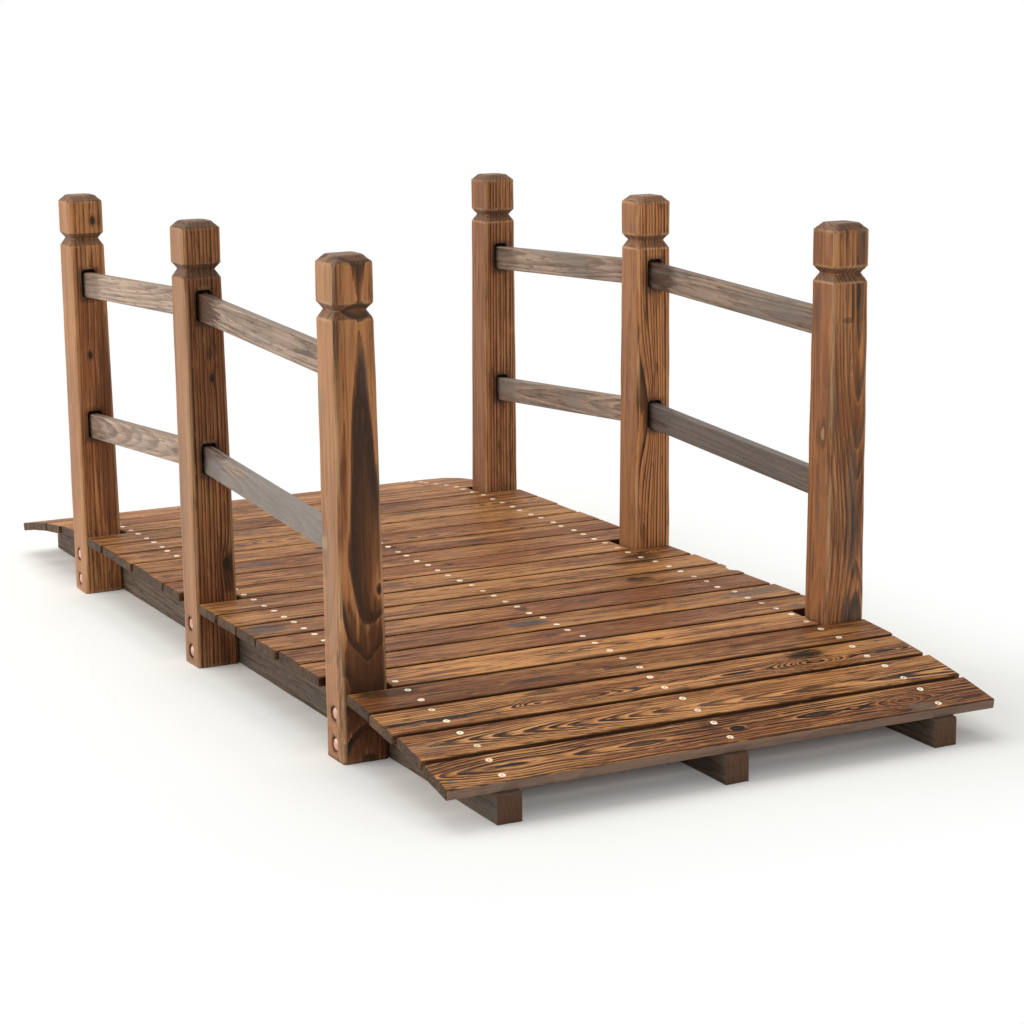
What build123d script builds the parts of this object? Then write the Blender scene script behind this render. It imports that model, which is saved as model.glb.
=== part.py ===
from build123d import *
import math
import os

# Arched timber garden footbridge, in millimetres.
# X runs across the bridge, Y along it and Z up. The origin is on the ground under its middle.
# "Near" is the end towards -Y, "left" is the side towards -X.

# --- deck -------------------------------------------------------------------------------------
DECK_LENGTH = 1500.0            # over the end boards
DECK_WIDTH = 692.0              # length of a full board
BOARD_COUNT = 23                # odd, so that one board is the middle one
BOARD_THICKNESS = 12.0
BOARD_GAPS = {"near": 6.35, "far": 4.55}    # from the middle board to each end
BOARD_EASE = 1.2                # planed off the top edges
BOARD_OVERHANG = 55.0           # full boards reach this far past the outer bearers
END_STAGGER = 1.5               # how far board ends stand in and out of line
SHORT_BOARD_GAP = 6.0           # between a short board's end and the post beside it
CHIPPED_BOARD = 8               # counted from 0 at the near end; broken at its right end
CHIP_LENGTH = 34.0              # how far the broken edge runs along the end
CHIP_REACH = 9.0                # ... and how far it reaches in from the end
CHIP_DEPTH = 7.0                # ... and how deep it goes into the thickness

# --- arch -------------------------------------------------------------------------------------
ARCH_LEVEL = 395.0              # half length of the level stretch in the middle
ARCH_END_DROP = 39.5            # the deck's ends lie this far below its middle

# --- bearers ----------------------------------------------------------------------------------
BEARER_HEIGHT = 73.0            # under the level stretch
BEARER_THICKNESS = 30.0
BEARER_OVERHANG = 5.0           # the bearers reach this far past the deck's ends

# --- posts ------------------------------------------------------------------------------------
POST_BOARDS = 7                 # boards from the middle post to each end post
POST_PLAY_BEFORE = {            # share of the bay's free room on the near side of a post
    "near": 0.07,
    "middle": 0.07,
    "far": 0.5,
}
POST_WIDTH = 56.5               # across the bridge, at the foot
POST_DEPTH = 50.0               # along the bridge
POST_HEAD_WIDTH = 50.5          # across the bridge, above the taper
POST_EASE = 1.6                 # planed off the long edges
TAPER_START = 92.0              # the inner face leans out from this height up to the neck
NECK_LOW = 496.0                # foot of the V neck
NECK_MIDDLE = 506.0             # bottom of the V
NECK_DEPTH = 5.8
HEAD_LOW = 514.0                # top of the V
HEAD_SHOULDER = 558.0           # where the head's chamfer starts
HEAD_CHAMFER = 8.0

# --- rails ------------------------------------------------------------------------------------
RAIL_HEIGHT = 34.0
RAIL_THICKNESS = 12.5
RAIL_EASE = 1.0
TENON_LENGTH = 14.0             # how far a rail goes into each post
TENON_END_GAP = 1.0             # between a tenon's end and the slot's
SLOT_SIDE_GAP = 3.8             # beside the rail, each side
SLOT_TOP_GAP = 4.0              # over the rail, which rests on the floor of the slot
SLOT_CORNER = 3.0               # planed off the corners of the slots
RAIL_TOPS = {                   # height of the upper edge at the middle post and at the end post
    "top_rail": (477.0, 459.0),
    "lower_rail": (284.5, 259.0),
}

# --- coach bolts ------------------------------------------------------------------------------
BOLT_HEIGHTS = (18.0, 54.0)
BOLT_SHANK = 6.0
BOLT_HOLE_CLEARANCE = 0.3       # all round the shank
BOLT_HEAD = 13.6
BOLT_HEAD_RIM = 1.2
BOLT_HEAD_DOME = 3.0
COUNTERBORE_CLEARANCE = 1.7     # all round the head
COUNTERBORE_DEPTH = 6.0
NUT_ACROSS_FLATS = 10.0
NUT_THICKNESS = 5.0             # the shank ends flush with the nut

# --- what follows from them -------------------------------------------------------------------
SIDES = {"left": -1, "right": 1}
ROWS = {"near": -1, "middle": 0, "far": 1}
BOARDS_PER_HALF = BOARD_COUNT // 2
BOARD_WIDTH = (DECK_LENGTH - BOARDS_PER_HALF * sum(BOARD_GAPS.values())) / BOARD_COUNT
BEARER_LENGTH = DECK_LENGTH + 2 * BEARER_OVERHANG
BEARER_OUTER_X = DECK_WIDTH / 2 - BOARD_OVERHANG        # where the posts' inner faces stand too
POST_OUTER_X = BEARER_OUTER_X + POST_WIDTH
POST_HEAD_INNER_X = POST_OUTER_X - POST_HEAD_WIDTH
RAIL_X = POST_OUTER_X - POST_HEAD_WIDTH / 2
ARCH_RUN = DECK_LENGTH / 2 - ARCH_LEVEL
ARCH_RADIUS = (ARCH_RUN ** 2 + ARCH_END_DROP ** 2) / (2 * ARCH_END_DROP)


def arch_drop(y):
    """How far the arch lies below its level stretch at y."""
    past = max(0.0, abs(y) - ARCH_LEVEL)
    return ARCH_RADIUS - math.sqrt(ARCH_RADIUS ** 2 - past ** 2)


def arch_slope(y):
    """Rise of the arch per millimetre along +Y at y."""
    past = max(0.0, abs(y) - ARCH_LEVEL)
    return -math.copysign(past / math.sqrt(ARCH_RADIUS ** 2 - past ** 2), y)


def board_centres():
    """Middle of each board's underside along Y, from the near end."""
    ends = DECK_LENGTH / 2 - BOARD_WIDTH / 2
    near_pitch = BOARD_WIDTH + BOARD_GAPS["near"]
    far_pitch = BOARD_WIDTH + BOARD_GAPS["far"]
    near = [-ends + near_pitch * step for step in range(BOARDS_PER_HALF)]
    far = [ends - far_pitch * step for step in range(BOARDS_PER_HALF, -1, -1)]
    return near + far


def seat(y):
    """Height and slope of the flat that carries a board whose middle is at y."""
    return BEARER_HEIGHT - arch_drop(y), arch_slope(y)


def seat_height(y, centre):
    """Height at y of the seat whose middle is at centre."""
    height, slope = seat(centre)
    return height + slope * (y - centre)


def seat_break(left, right):
    """Where the sloping seats of two neighbouring boards meet."""
    (z_left, slope_left), (z_right, slope_right) = seat(left), seat(right)
    y = (z_right - z_left + slope_left * left - slope_right * right) / (slope_left - slope_right)
    return y, seat_height(y, left)


def short_board(row):
    """Number of the board, from 0 at the near end, that stops short of a row's posts."""
    return BOARDS_PER_HALF + ROWS[row] * POST_BOARDS


def post_y(row):
    """Middle of a post along Y, in the bay that its short board leaves between the full ones."""
    centres = board_centres()
    before = centres[short_board(row) - 1] + BOARD_WIDTH / 2
    after = centres[short_board(row) + 1] - BOARD_WIDTH / 2
    play = after - before - POST_DEPTH
    return before + play * POST_PLAY_BEFORE[row] + POST_DEPTH / 2


def bolt_points(side):
    """Middle of every bolt of one side, on the outer face of the posts."""
    return [
        Vector(SIDES[side] * POST_OUTER_X, post_y(row), height)
        for row in ROWS
        for height in BOLT_HEIGHTS
    ]


def bolt_holes(side, radius, depth=None):
    """Cylinders on the bolts' axes, from the posts' outer faces inwards."""
    length = depth or POST_OUTER_X
    inwards = Vector(-SIDES[side], 0, 0)
    return [
        extrude(Plane(point, z_dir=inwards) * Circle(radius), length)
        for point in bolt_points(side)
    ]


def stringer(outline, x_low):
    """One bearer: the arched outline, with a flat for each board, given its thickness."""
    face = Plane((x_low, 0, 0), x_dir=(0, 1, 0), z_dir=(1, 0, 0)) * outline
    return extrude(face, BEARER_THICKNESS)


def stringer_outline():
    """Side view of a bearer: level foot, square ends and a seat under each board."""
    centres = board_centres()
    end = BEARER_LENGTH / 2
    breaks = [
        seat_break(left, right)
        for left, right in zip(centres, centres[1:])
        if abs(arch_slope(left) - arch_slope(right)) > 1e-9
    ]
    near_end = (-end, seat_height(-end, centres[0]))
    far_end = (end, seat_height(end, centres[-1]))
    return Polygon((-end, 0), (end, 0), far_end, *reversed(breaks), near_end, align=None)


def eased_section(x_low, x_high, depth, ease, z):
    """A post's outline at height z: a rectangle with its corners planed off."""
    half = depth / 2
    corners = []
    for x, y in ((x_low, -half), (x_high, -half), (x_high, half), (x_low, half)):
        in_x = ease if x == x_low else -ease
        in_y = ease if y < 0 else -ease
        pair = [(x, y + in_y), (x + in_x, y)]
        corners += pair if in_x * in_y > 0 else pair[::-1]
    return Pos(0, 0, z) * Polygon(*corners, align=None)


def post_blank():
    """A right-hand post at the origin of Y, before its slots and bolt holes are cut."""
    foot = (BEARER_OUTER_X, POST_OUTER_X, POST_DEPTH)
    head = (POST_HEAD_INNER_X, POST_OUTER_X, POST_DEPTH)

    def drawn_in(inset):
        return head[0] + inset, head[1] - inset, head[2] - 2 * inset

    levels = [
        (foot, 0.0),
        (foot, TAPER_START),
        (head, NECK_LOW),
        (drawn_in(NECK_DEPTH), NECK_MIDDLE),
        (head, HEAD_LOW),
        (head, HEAD_SHOULDER),
        (drawn_in(HEAD_CHAMFER), HEAD_SHOULDER + HEAD_CHAMFER),
    ]
    return loft([eased_section(*size, POST_EASE, z) for size, z in levels], ruled=True)


def rail_axis(kind, bay):
    """Start, direction and length of a rail's centre line between the faces of its two posts."""
    towards = ROWS[bay]
    top_middle, top_end = RAIL_TOPS[kind]
    half_post = towards * POST_DEPTH / 2
    start = Vector(0, post_y("middle") + half_post, top_middle - RAIL_HEIGHT / 2)
    end = Vector(0, post_y(bay) - half_post, top_end - RAIL_HEIGHT / 2)
    span = end - start
    return start, end, span.normalized()


def rail(kind, bay, side):
    """A flat rail with eased edges and a tenon in each post."""
    start, end, along = rail_axis(kind, bay)
    first = start - along * TENON_LENGTH
    plane = Plane(first, x_dir=(1, 0, 0), z_dir=along)
    length = (end - first).length + TENON_LENGTH
    blank = extrude(plane * Rectangle(RAIL_THICKNESS, RAIL_HEIGHT), length)
    long_edges = blank.edges().filter_by(lambda edge: edge.length > length - 1)
    return Pos(SIDES[side] * RAIL_X, 0, 0) * chamfer(long_edges, RAIL_EASE)


def rail_slots(row, side):
    """The slots that one post has for its rails, a little larger than the rails."""
    slots = []
    for kind in RAIL_TOPS:
        for bay in ("near", "far"):
            start, end, along = rail_axis(kind, bay)
            if row == "middle":
                mouth, inwards = start, along * -1
            elif row == bay:
                mouth, inwards = end, along
            else:
                continue
            depth = TENON_LENGTH + TENON_END_GAP
            plane = Plane(mouth - inwards * depth, x_dir=(1, 0, 0), z_dir=inwards)
            rise = SLOT_TOP_GAP / 2 if plane.y_dir.Z > 0 else -SLOT_TOP_GAP / 2
            outline = Rectangle(RAIL_THICKNESS + 2 * SLOT_SIDE_GAP, RAIL_HEIGHT + SLOT_TOP_GAP)
            outline = chamfer(outline.vertices(), SLOT_CORNER)
            slot = extrude(plane * Pos(0, rise, 0) * outline, 2 * depth)
            slots.append(Pos(SIDES[side] * RAIL_X, 0, 0) * slot)
    return slots


def post(row, side, bores):
    """A finished post: tapered shaft, V neck and chamfered head, slotted and bored."""
    blank = post_blank()
    if side == "left":
        blank = mirror(blank, about=Plane.YZ)
    return Pos(0, post_y(row), 0) * blank - rail_slots(row, side) - bores


def deck_board(index, centre):
    """A board with eased edges, laid flat on its seats."""
    height, slope = seat(centre)
    stagger = END_STAGGER * math.sin(2.4 * index)
    length = DECK_WIDTH
    if index in [short_board(row) for row in ROWS]:
        length = 2 * (BEARER_OUTER_X - SHORT_BOARD_GAP)
        stagger = 0.0
    blank = Box(length - 2 * abs(stagger), BOARD_WIDTH, BOARD_THICKNESS,
                align=(Align.CENTER, Align.CENTER, Align.MIN))
    top = blank.faces().sort_by(Axis.Z)[-1]
    board = chamfer(top.edges(), BOARD_EASE)
    return Pos(stagger, centre, height) * Rot(math.degrees(math.atan(slope)), 0, 0) * board


def chipped(board):
    """Break a sliver off the top edge of a board's right end."""
    box = board.bounding_box()
    corner = Vector(box.max.X, (box.min.Y + box.max.Y) / 2, box.max.Z)
    outline = Polygon(
        (-CHIP_LENGTH / 2, 0), (-CHIP_LENGTH / 5, -CHIP_REACH), (CHIP_LENGTH / 6, -CHIP_REACH * 0.7),
        (CHIP_LENGTH / 2, 0), (CHIP_LENGTH / 2, 1), (-CHIP_LENGTH / 2, 1), align=None,
    )
    plane = Plane(corner, x_dir=(0, 1, 0), z_dir=(0, 0, -1))
    return board - extrude(plane * outline, CHIP_DEPTH)


def bolt(point, side):
    """A coach bolt: domed head in its counterbore, shank and nut."""
    rim = COUNTERBORE_DEPTH - BOLT_HEAD_RIM
    crown = rim - BOLT_HEAD_DOME
    half_section = Polygon(
        (0, COUNTERBORE_DEPTH),
        (0, crown),
        (BOLT_HEAD * 0.25, crown),
        (BOLT_HEAD / 2, rim),
        (BOLT_HEAD / 2, COUNTERBORE_DEPTH),
        align=None,
    )
    head = revolve(Plane.XZ * half_section, Axis.Z)
    nut_seat = POST_OUTER_X - BEARER_OUTER_X + BEARER_THICKNESS
    nut_end = nut_seat + NUT_THICKNESS
    shank = Pos(0, 0, COUNTERBORE_DEPTH) * extrude(Circle(BOLT_SHANK / 2), nut_end - COUNTERBORE_DEPTH)
    hexagon = RegularPolygon(NUT_ACROSS_FLATS / 2, 6, major_radius=False)
    nut = Pos(0, 0, nut_seat) * extrude(hexagon, NUT_THICKNESS)
    plane = Plane(point, x_dir=(0, 1, 0), z_dir=(-SIDES[side], 0, 0))
    return plane * (head + shank + nut)


def save(shape, node):
    """Write one node's STEP file."""
    export_step(shape, f"parts/{node}.step")


def main():
    os.makedirs("parts", exist_ok=True)

    hole = BOLT_SHANK / 2 + BOLT_HOLE_CLEARANCE
    counterbore = BOLT_HEAD / 2 + COUNTERBORE_CLEARANCE
    bores = {
        side: bolt_holes(side, hole) + bolt_holes(side, counterbore, COUNTERBORE_DEPTH)
        for side in SIDES
    }

    outline = stringer_outline()
    save(stringer(outline, -BEARER_OUTER_X) - bores["left"], "stringer_left")
    save(stringer(outline, -BEARER_THICKNESS / 2), "stringer_middle")
    right_low = BEARER_OUTER_X - BEARER_THICKNESS
    save(stringer(outline, right_low) - bores["right"], "stringer_right")

    for side in SIDES:
        for row in ROWS:
            save(post(row, side, bores[side]), f"post_{row}_{side}")
        for kind in RAIL_TOPS:
            for bay in ("near", "far"):
                save(rail(kind, bay, side), f"{kind}_{bay}_{side}")
        save(Compound([bolt(point, side) for point in bolt_points(side)]), f"bolts_{side}")

    for index, centre in enumerate(board_centres()):
        board = deck_board(index, centre)
        if index == CHIPPED_BOARD:
            board = chipped(board)
        save(board, f"deck_board_{index + 1:02d}")


main()
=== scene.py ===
"""Dresses a wooden garden footbridge: brushed and charred timbers, coach bolts, deck screws, floor and light.

Lengths are millimetres inside a timber's own grain frame and on a bolt, and metres everywhere else.
"""

import logging
import math
import random
from dataclasses import dataclass, field, replace
from enum import Enum
from typing import Any, Callable, Iterable, Union

import bmesh
import bpy
import numpy as np
from mathutils import Matrix, Vector


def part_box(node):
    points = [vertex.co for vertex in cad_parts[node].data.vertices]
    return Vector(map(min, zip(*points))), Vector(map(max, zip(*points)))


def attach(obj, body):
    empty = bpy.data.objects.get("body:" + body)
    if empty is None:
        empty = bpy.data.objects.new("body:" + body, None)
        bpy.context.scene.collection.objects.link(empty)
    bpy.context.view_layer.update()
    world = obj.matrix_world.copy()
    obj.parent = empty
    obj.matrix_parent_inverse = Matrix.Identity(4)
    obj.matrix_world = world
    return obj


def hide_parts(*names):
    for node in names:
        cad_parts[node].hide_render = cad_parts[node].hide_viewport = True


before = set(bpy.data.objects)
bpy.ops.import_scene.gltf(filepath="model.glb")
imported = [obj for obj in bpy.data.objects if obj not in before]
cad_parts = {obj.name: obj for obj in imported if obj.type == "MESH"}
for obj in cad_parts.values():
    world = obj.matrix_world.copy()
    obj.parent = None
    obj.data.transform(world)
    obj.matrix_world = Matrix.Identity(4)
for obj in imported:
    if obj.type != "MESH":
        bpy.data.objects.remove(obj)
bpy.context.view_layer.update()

MM = 0.001
BODY = "root"
LOG = logging.getLogger("footbridge")

Colour = tuple[float, float, float, float]
WHITE: Colour = (1.0, 1.0, 1.0, 1.0)


def dye(red: int, green: int, blue: int) -> Colour:
    """Turn a colour as a paint chart writes it, 0 to 255, into the renderer's linear values.

    Args:
        red: Its red.
        green: Its green.
        blue: Its blue.

    Returns:
        The colour, opaque.
    """
    def linear(level: int) -> float:
        """Undo the display curve on one channel."""
        share = level / 255
        return share / 12.92 if share <= 0.04045 else ((share + 0.055) / 1.055) ** 2.4
    return (linear(red), linear(green), linear(blue), 1.0)


# --------------------------------------------------------------------------------------------
# Shader expressions
# --------------------------------------------------------------------------------------------

class Tint:
    """A number or colour that varies over a surface: one socket, with arithmetic."""

    def __init__(self, paint: "Paint", socket: bpy.types.NodeSocket) -> None:
        """Wrap a socket of a paint's node tree."""
        self.paint = paint
        self.socket = socket

    def maths(self, operation: str, *values: Any) -> "Tint":
        """Add a Math node.

        Args:
            operation: The Math node's operation.
            values: Its inputs in order, numbers or tints.

        Returns:
            The node's value.
        """
        node = self.paint.node("ShaderNodeMath", {"operation": operation}, dict(enumerate(values)))
        return Tint(self.paint, node.outputs[0])

    def __add__(self, other: Any) -> "Tint":
        """Add."""
        return self.maths("ADD", self, other)

    def __radd__(self, other: Any) -> "Tint":
        """Add to a plain number."""
        return self.maths("ADD", other, self)

    def __sub__(self, other: Any) -> "Tint":
        """Subtract."""
        return self.maths("SUBTRACT", self, other)

    def __rsub__(self, other: Any) -> "Tint":
        """Subtract from a plain number."""
        return self.maths("SUBTRACT", other, self)

    def __mul__(self, other: Any) -> "Tint":
        """Multiply."""
        return self.maths("MULTIPLY", self, other)

    def __rmul__(self, other: Any) -> "Tint":
        """Multiply a plain number."""
        return self.maths("MULTIPLY", other, self)

    def __truediv__(self, other: Any) -> "Tint":
        """Divide."""
        return self.maths("DIVIDE", self, other)

    def __rtruediv__(self, other: Any) -> "Tint":
        """Divide a plain number."""
        return self.maths("DIVIDE", other, self)

    def __neg__(self) -> "Tint":
        """Change the sign."""
        return self.maths("MULTIPLY", self, -1.0)


Number = Union[float, np.ndarray, Tint]


def either(operation: str, on_numbers: Callable[..., Any]) -> Callable[..., Number]:
    """Make a function that works on a surface's values and on plain numbers alike.

    Args:
        operation: The Math node's operation for a surface's values.
        on_numbers: The same for numbers and arrays.

    Returns:
        The function.
    """
    def apply(value: Number, *others: Number) -> Number:
        """Work on whichever kind the first value is.

        Args:
            value: The first value.
            others: The rest.

        Returns:
            The result, of the same kind.
        """
        if isinstance(value, Tint):
            return value.maths(operation, value, *others)
        return on_numbers(value, *others)
    return apply


sine = either("SINE", np.sin)
root = either("SQRT", np.sqrt)
exponent = either("EXPONENT", np.exp)
size_of = either("ABSOLUTE", np.abs)
greater = either("MAXIMUM", np.maximum)
fraction = either("FRACT", lambda value: value - np.floor(value))


def rise(value: Number, low: float, high: float) -> Number:
    """Go smoothly from 0 where a value is at low to 1 where it is at high.

    Args:
        value: What is looked at.
        low: The value that gives 0.
        high: The value that gives 1; below low for a fall.

    Returns:
        A value from 0 to 1.
    """
    if isinstance(value, Tint):
        node = value.paint.node(
            "ShaderNodeMapRange",
            {"interpolation_type": "SMOOTHSTEP"},
            {"Value": value, "From Min": low, "From Max": high},
        )
        return Tint(value.paint, node.outputs[0])
    share = np.clip((value - low) / (high - low), 0.0, 1.0)
    return share * share * (3.0 - 2.0 * share)


class Paint:
    """A material, or the surround, whose nodes are added by expressions."""

    def __init__(self, owner: Union[bpy.types.Material, bpy.types.World], shader: str) -> None:
        """Take hold of the nodes of a material or a world, and of its shader's node.

        Args:
            owner: The material or the world.
            shader: The name of its shader's node.
        """
        owner.use_nodes = True
        self.owner = owner
        self.tree = owner.node_tree
        self.surface = self.tree.nodes[shader]

    @classmethod
    def on_surface(cls, name: str) -> "Paint":
        """Make an empty material with a Principled BSDF."""
        return cls(bpy.data.materials.new(name), "Principled BSDF")

    def node(self, kind: str, settings: dict[str, Any], values: dict[Any, Any]) -> bpy.types.Node:
        """Add a node.

        Args:
            kind: The node's type.
            settings: What is set on the node itself.
            values: Numbers, colours or tints for its sockets, by name or place.

        Returns:
            The new node.
        """
        made = self.tree.nodes.new(kind)
        for name, value in settings.items():
            setattr(made, name, value)
        self.fill(made, values)
        return made

    def fill(self, node: bpy.types.Node, values: dict[Any, Any]) -> None:
        """Set or link a node's sockets.

        Args:
            node: The node.
            values: Numbers, colours or tints, by the socket's name or place.
        """
        for name, value in values.items():
            if isinstance(value, Tint):
                self.tree.links.new(value.socket, node.inputs[name])
            else:
                node.inputs[name].default_value = value

    def noise(self, place: Tint, scale: tuple[float, float], shift: float, detail: float) -> Tint:
        """Smooth noise between about 0.2 and 0.8.

        Args:
            place: Where on the timber, in millimetres.
            scale: How fast it changes per millimetre, square to the grain and along it.
            shift: Tells one timber's noise from the next.
            detail: Finer octaves.

        Returns:
            The noise.
        """
        moved = self.node("ShaderNodeVectorMath", {"operation": "MULTIPLY_ADD"},
                          {0: place, 1: (*scale, scale[0]), 2: (shift, shift * 0.7, shift * 1.3)})
        made = self.node("ShaderNodeTexNoise", {}, {"Vector": Tint(self, moved.outputs[0]),
                                                   "Scale": 1.0, "Detail": detail, "Roughness": 0.55})
        return Tint(self, made.outputs[0])

    def mix(self, share: Any, first: Any, second: Any, blend: str = "MIX") -> Tint:
        """Mix two colours.

        Args:
            share: How much of the second, 0 to 1.
            first: The colour underneath.
            second: The colour on top.
            blend: The Mix node's blending.

        Returns:
            The mixed colour.
        """
        made = self.node("ShaderNodeMix", {"data_type": "RGBA", "blend_type": blend, "clamp_factor": True},
                         {0: share, 6: first, 7: second})
        return Tint(self, made.outputs[2])

    def scaled(self, colour: Tint, amount: Any) -> Tint:
        """Make a colour brighter or darker, or a vector longer or shorter."""
        made = self.node("ShaderNodeVectorMath", {"operation": "SCALE"}, {0: colour, "Scale": amount})
        return Tint(self, made.outputs[0])

    def painted(self, name: str) -> Tint:
        """Read a value that the mesh carries at its vertices."""
        made = self.node("ShaderNodeAttribute", {"attribute_name": name}, {})
        return Tint(self, made.outputs["Fac"])

    def spot(self) -> Tint:
        """Read the place on the object, in metres."""
        return Tint(self, self.node("ShaderNodeTexCoord", {}, {}).outputs["Object"])

    def apart(self, vector: Tint) -> tuple[Tint, Tint, Tint]:
        """Split a vector into its three numbers."""
        made = self.node("ShaderNodeSeparateXYZ", {}, {0: vector})
        return tuple(Tint(self, socket) for socket in made.outputs)

    def bump(self, height: Tint, depth: float, strength: float = 1.0) -> Tint:
        """Raise a surface by a height in parts of a depth in metres."""
        made = self.node("ShaderNodeBump", {}, {"Height": height, "Distance": depth, "Strength": strength})
        return Tint(self, made.outputs[0])

    def finish(self, values: dict[str, Any]) -> bpy.types.Material:
        """Connect the surface and hand over the material."""
        self.fill(self.surface, values)
        return self.owner

    def shown(self) -> tuple[Tint, Tint]:
        """Where the camera sees it, and where it is seen at all: directly, mirrored or through glass."""
        path = self.node("ShaderNodeLightPath", {}, {})
        camera, glossy, through = (
            Tint(self, path.outputs[f"Is {kind} Ray"]) for kind in ("Camera", "Glossy", "Transmission")
        )
        return camera, greater(greater(camera, glossy), through)


# --------------------------------------------------------------------------------------------
# How a timber was cut from its log
# --------------------------------------------------------------------------------------------

@dataclass(frozen=True)
class Knot:
    """A branch that the growth rings bend round, seen on a timber's broad face.

    Args:
        across: Its middle across the grain.
        along: Its middle along the grain.
        width: How far it bends the rings across the grain.
        length: How far it bends them along the grain.
        swell: How many millimetres it pushes them out, or in if negative.
        heart: Radius of its dark heart, 0 for none.
    """

    across: float
    along: float
    width: float
    length: float
    swell: float
    heart: float = 0.0

    def reach(self, x: Number, y: Number, width: float, length: float) -> Number:
        """Squared distance from the knot in widths and lengths.

        Args:
            x: Across the grain.
            y: Along the grain.
            width: The unit across.
            length: The unit along.

        Returns:
            The squared distance.
        """
        dx = (x - self.across) / width
        dy = (y - self.along) / length
        return dx * dx + dy * dy


@dataclass(frozen=True)
class Rings:
    """The growth rings that run through a timber.

    Args:
        pith: The log's middle beside the timber's, across and through.
        lean: How far the log's middle strays, across and through, per millimetre along.
        width: Width of a ring.
        sway: How strongly the rings wave.
        wander: How far the log's middle strays up and down on its way along.
        late: Where in a ring the dense part sets in, from 0 to 1.
        seed: Tells one timber's waves and noise from the next.
        knots: The knots in it.
    """

    pith: tuple[float, float]
    lean: tuple[float, float] = (0.0, 0.0)
    width: float = 5.0
    sway: float = 1.0
    wander: float = 0.0
    late: float = 0.35
    seed: float = 0.0
    knots: tuple[Knot, ...] = ()

    WHOLE_TIMBER = 500.0

    def field(self, x: Number, y: Number, z: Number) -> tuple[Number, Number]:
        """Find where in the log a place lies.

        Args:
            x: Across the grain.
            y: Along the grain.
            z: Through the timber.

        Returns:
            The count of rings out from the pith, with its fraction, and how flat the rings lie there, 0 to 1.
        """
        dx = x - y * self.lean[0] - self.pith[0]
        dz = z - y * self.lean[1] - self.pith[1] - sine(y / 84 + self.seed * 1.7) * self.wander
        waves = sine(y / 118 + x / 61 + self.seed) * 1.5
        waves = waves + sine(y / 47 - x / 19 + self.seed * 2.3) * 0.45
        waves = waves + sine(y / 263 + z / 40 + self.seed * 3.1) * 2.2
        steep, level = dx * dx, dz * dz
        radius = root(steep + level) + waves * self.sway
        flat = level / (steep + level + 0.01)
        for knot in self.knots:
            pull = exponent(-knot.reach(x, y, knot.width, knot.length))
            radius = radius + pull * knot.swell
            if knot.width < self.WHOLE_TIMBER:
                flat = greater(flat, pull * 1.5)
        count = radius / self.width
        return count + sine(count * 2.1 + self.seed) * 0.16 + 40.0, flat

    def latewood(self, turn: Number, shift: Number = 0.0) -> Number:
        """The dense dark part of a ring: it comes on slowly and stops short."""
        return rise(turn, shift + self.late, self.late * 0.3 + 0.7) * rise(turn, 1.0, 0.94)


@dataclass(frozen=True)
class Mark:
    """A stain, a charred spot or a weathered patch on a timber; a few also stand for painted shade, a painted
    highlight or a painted sheen.

    Args:
        across: Its middle across the grain.
        along: Its middle along the grain.
        width: Half of its width across the grain.
        length: Half of its length along the grain.
        colour: Its colour.
        share: How strong it is, 0 to 1.
        through: Its middle through the timber.
        depth: Half of its reach through the timber, 0 if it goes right through.
        under: Whether it lies under the rings' lines.
    """

    across: float
    along: float
    width: float
    length: float
    colour: Colour
    share: float = 0.8
    through: float = 0.0
    depth: float = 0.0
    under: bool = False

    def spread(self, x: Number, y: Number, z: Number, ragged: Number) -> Number:
        """How strongly it shows at a place, with an uneven edge.

        Args:
            x: Across the grain.
            y: Along the grain.
            z: Through the timber.
            ragged: The noise that makes its edge uneven.

        Returns:
            Its share there, 0 to 1.
        """
        dx = (x - self.across) / self.width
        dy = (y - self.along) / self.length
        away = dx * dx + dy * dy
        if self.depth:
            dz = (z - self.through) / self.depth
            away = away + dz * dz
        return rise(away + (ragged - 0.5) * 8.0, 1.4, 0.5) * self.share


@dataclass(frozen=True)
class Grain:
    """Where a timber lies: its middle and its own directions.

    Args:
        centre: The middle, in metres.
        turn: Rows are the directions across, along and through the grain.
        size: Its size in those directions, in millimetres.
    """

    centre: Vector
    turn: Matrix
    size: Vector

    @staticmethod
    def facing(mesh: bpy.types.Mesh, hint: Vector) -> Vector:
        """The mean normal of the faces that look roughly one way.

        Args:
            mesh: The mesh.
            hint: Which way, roughly.

        Returns:
            The mean normal.
        """
        total = Vector()
        for face in mesh.polygons:
            if face.normal.dot(hint) > 0.9:
                total += face.normal * face.area
        return total.normalized()

    @classmethod
    def of_node(cls, node: str, across: Vector, through: Vector, square: bool) -> "Grain":
        """Find a node's grain frame.

        Args:
            node: The node's name.
            across: Roughly the direction across its broad face.
            through: Roughly the direction out of its broad face.
            square: Take those directions as they are.

        Returns:
            The grain frame, with "along" at right angles to both.
        """
        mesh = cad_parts[node].data
        if not square:
            through = cls.facing(mesh, through)
            across = cls.facing(mesh, across)
            across = (across - through * across.dot(through)).normalized()
        along = through.cross(across)
        turn = Matrix((across, along, through))
        places = np.array([turn @ vertex.co for vertex in mesh.vertices])
        low, high = places.min(axis=0), places.max(axis=0)
        centre = turn.transposed() @ Vector((low + high) / 2)
        return cls(centre, turn, Vector((high - low) / MM))

    def from_world(self) -> Matrix:
        """The matrix from metres in the bridge's frame to millimetres in the timber's."""
        return Matrix.Scale(1 / MM, 4) @ self.turn.to_4x4() @ Matrix.Translation(-self.centre)


# --------------------------------------------------------------------------------------------
# Finishes
# --------------------------------------------------------------------------------------------

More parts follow.
